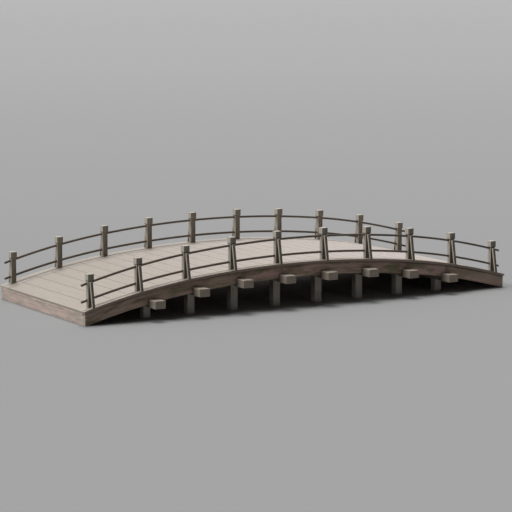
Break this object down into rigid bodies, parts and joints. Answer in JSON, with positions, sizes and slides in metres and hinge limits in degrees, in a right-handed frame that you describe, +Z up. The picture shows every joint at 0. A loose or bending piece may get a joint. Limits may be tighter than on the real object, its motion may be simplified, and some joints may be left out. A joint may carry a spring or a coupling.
{
  "type": "low-arched timber moon bridge",
  "caption": "Wide timber footbridge with a low arched plank deck on notched arch beams, crossbeams and square piles, and braced rail posts carrying square rails.",
  "frame": {"origin": "on the ground, midway along and across the bridge", "axes": "+X along the bridge towards the right end in the picture, +Y from the near side to the far side, +Z up"},
  "size_m": [15.596, 7.088, 2.4215],
  "materials": {
    "deck_timber": "weathered pale plank",
    "end_timber": "weathered pinkish board",
    "beam_timber": "weathered reddish brown timber",
    "crossbeam_timber": "weathered grey timber",
    "pile_timber": "weathered greenish grey timber",
    "post_timber": "weathered grey brown timber",
    "rail_timber": "dark stained square bar"
  },
  "bodies": {
    "root": {"near_arch_beam": "beam_timber", "far_arch_beam": "beam_timber", "near_joist": "beam_timber", "middle_joist": "beam_timber", "far_joist": "beam_timber", "left_end_board": "end_timber", "right_end_board": "end_timber", "crossbeam_1": "crossbeam_timber", "crossbeam_2": "crossbeam_timber", "crossbeam_3": "crossbeam_timber", "crossbeam_4": "crossbeam_timber", "crossbeam_5": "crossbeam_timber", "crossbeam_6": "crossbeam_timber", "crossbeam_7": "crossbeam_timber", "crossbeam_8": "crossbeam_timber", "near_piles": "pile_timber", "far_piles": "pile_timber", "deck_planks_1": "deck_timber", "deck_planks_2": "deck_timber", "deck_planks_3": "deck_timber", "deck_planks_4": "deck_timber", "deck_planks_5": "deck_timber", "near_edge_board": "deck_timber", "far_edge_board": "deck_timber", "near_posts": "post_timber", "near_braces": "post_timber", "near_top_rail": "rail_timber", "near_lower_rail": "rail_timber", "far_posts": "post_timber", "far_braces": "post_timber", "far_top_rail": "rail_timber", "far_lower_rail": "rail_timber"}
  },
  "joints": []
}
